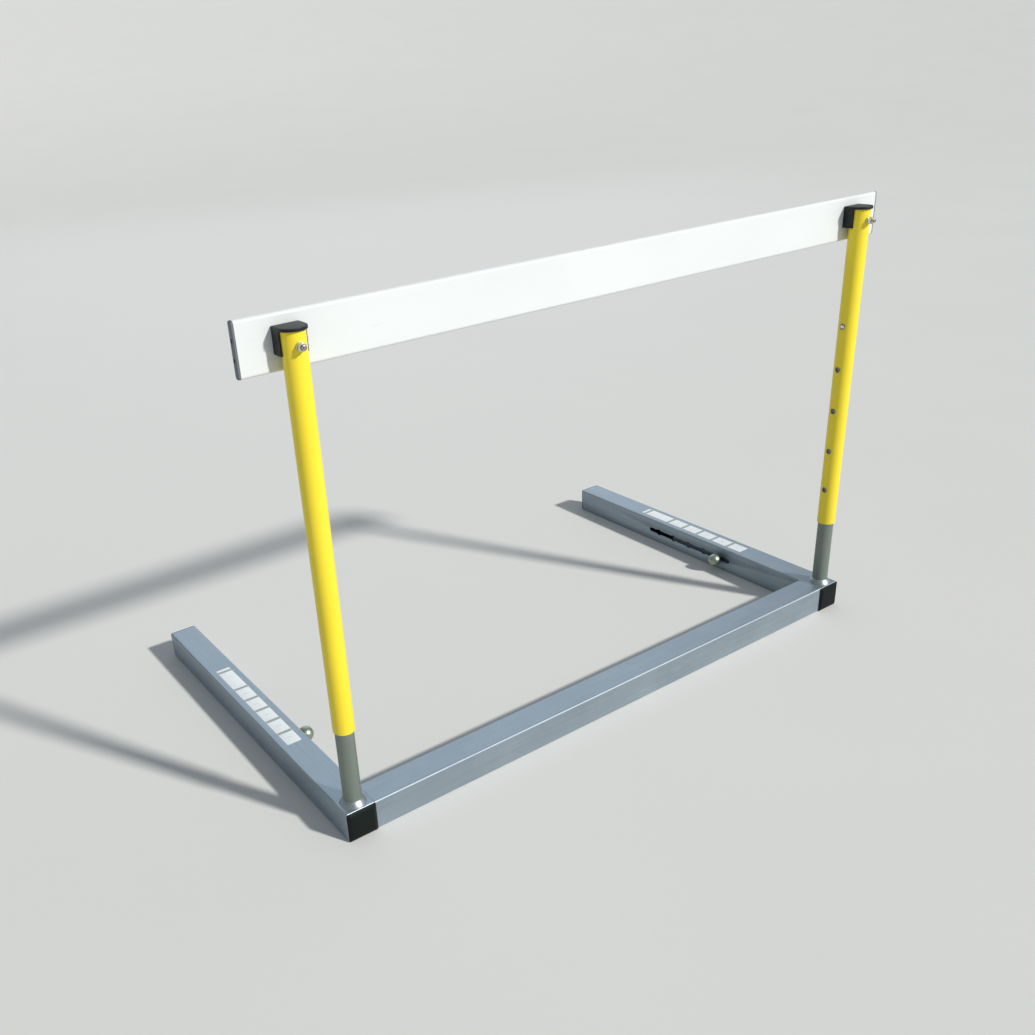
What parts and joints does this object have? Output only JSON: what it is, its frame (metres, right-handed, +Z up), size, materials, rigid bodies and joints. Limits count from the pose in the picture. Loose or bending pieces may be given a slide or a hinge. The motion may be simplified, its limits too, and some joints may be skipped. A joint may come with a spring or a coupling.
{
  "type": "track hurdle",
  "caption": "Adjustable track hurdle: weighted square-tube base, telescoping uprights with snap buttons, and a hollow white board across the top.",
  "frame": {"origin": "on the ground under the middle of the hurdle's bounding box, at the lowest height setting", "axes": "+X along the board to the right as the landing side is looked at, +Y back along the legs, +Z up"},
  "size_m": [1.19, 0.6966, 0.762],
  "materials": {
    "galvanised_steel": "satin zinc plate, faintly blue, semi-gloss",
    "grey_steel": "duller grey zinc plate",
    "yellow_paint": "glossy yellow powder coat",
    "white_board": "smooth white plastic, satin gloss",
    "slate_plastic": "dark slate-grey moulded plastic",
    "black_plastic": "black moulded plastic with a fine texture",
    "bright_steel": "bright zinc or nickel plate",
    "weight_steel": "plain dark bluish bar steel",
    "spring_steel": "plain spring steel"
  },
  "bodies": {
    "base": {"left_leg": "galvanised_steel", "right_leg": "galvanised_steel", "cross_beam": "galvanised_steel", "left_front_leg_cap": "black_plastic", "left_rear_leg_cap": "black_plastic", "right_front_leg_cap": "black_plastic", "right_rear_leg_cap": "black_plastic", "left_inner_tube": "grey_steel", "right_inner_tube": "grey_steel", "left_button_clip": "spring_steel", "right_button_clip": "spring_steel"},
    "upper_frame": {"left_outer_tube": "yellow_paint", "right_outer_tube": "yellow_paint", "board": "white_board", "left_board_cap": "slate_plastic", "right_board_cap": "slate_plastic", "left_saddle": "black_plastic", "right_saddle": "black_plastic", "left_board_bolt": "bright_steel", "right_board_bolt": "bright_steel", "left_board_washer": "bright_steel", "right_board_washer": "bright_steel", "left_board_nut": "bright_steel", "right_board_nut": "bright_steel"},
    "left_weight": {"left_counterweight": "weight_steel", "left_plunger_spring": "spring_steel"},
    "right_weight": {"right_counterweight": "weight_steel", "right_plunger_spring": "spring_steel"},
    "left_latch": {"left_plunger": "bright_steel", "left_knob": "bright_steel"},
    "right_latch": {"right_plunger": "bright_steel", "right_knob": "bright_steel"},
    "left_button": {"left_snap_button": "bright_steel"},
    "right_button": {"right_snap_button": "bright_steel"}
  },
  "joints": [
    {"name": "height_slide", "type": "slide", "parent": "base", "child": "upper_frame", "axis": [0, 0, 1], "range_m": [0, 0.3048]},
    {"name": "left_weight_slide", "type": "slide", "parent": "base", "child": "left_weight", "axis": [0, 1, 0], "range_m": [0, 0.176]},
    {"name": "right_weight_slide", "type": "slide", "parent": "base", "child": "right_weight", "axis": [0, 1, 0], "range_m": [0, 0.176]},
    {"name": "left_latch_pull", "type": "slide", "parent": "left_weight", "child": "left_latch", "axis": [1, 0, 0], "range_m": [0, 0.006], "stiffness_N_per_m": 1500, "springref_m": -0.004, "deforming": ["left_plunger_spring"]},
    {"name": "right_latch_pull", "type": "slide", "parent": "right_weight", "child": "right_latch", "axis": [-1, 0, 0], "range_m": [0, 0.006], "stiffness_N_per_m": 1500, "springref_m": -0.004, "deforming": ["right_plunger_spring"]},
    {"name": "left_button_press", "type": "slide", "parent": "base", "child": "left_button", "axis": [-1, 0, 0], "range_m": [0, 0.005], "stiffness_N_per_m": 1500, "springref_m": -0.004, "deforming": ["left_button_clip"]},
    {"name": "right_button_press", "type": "slide", "parent": "base", "child": "right_button", "axis": [1, 0, 0], "range_m": [0, 0.005], "stiffness_N_per_m": 1500, "springref_m": -0.004, "deforming": ["right_button_clip"]}
  ]
}
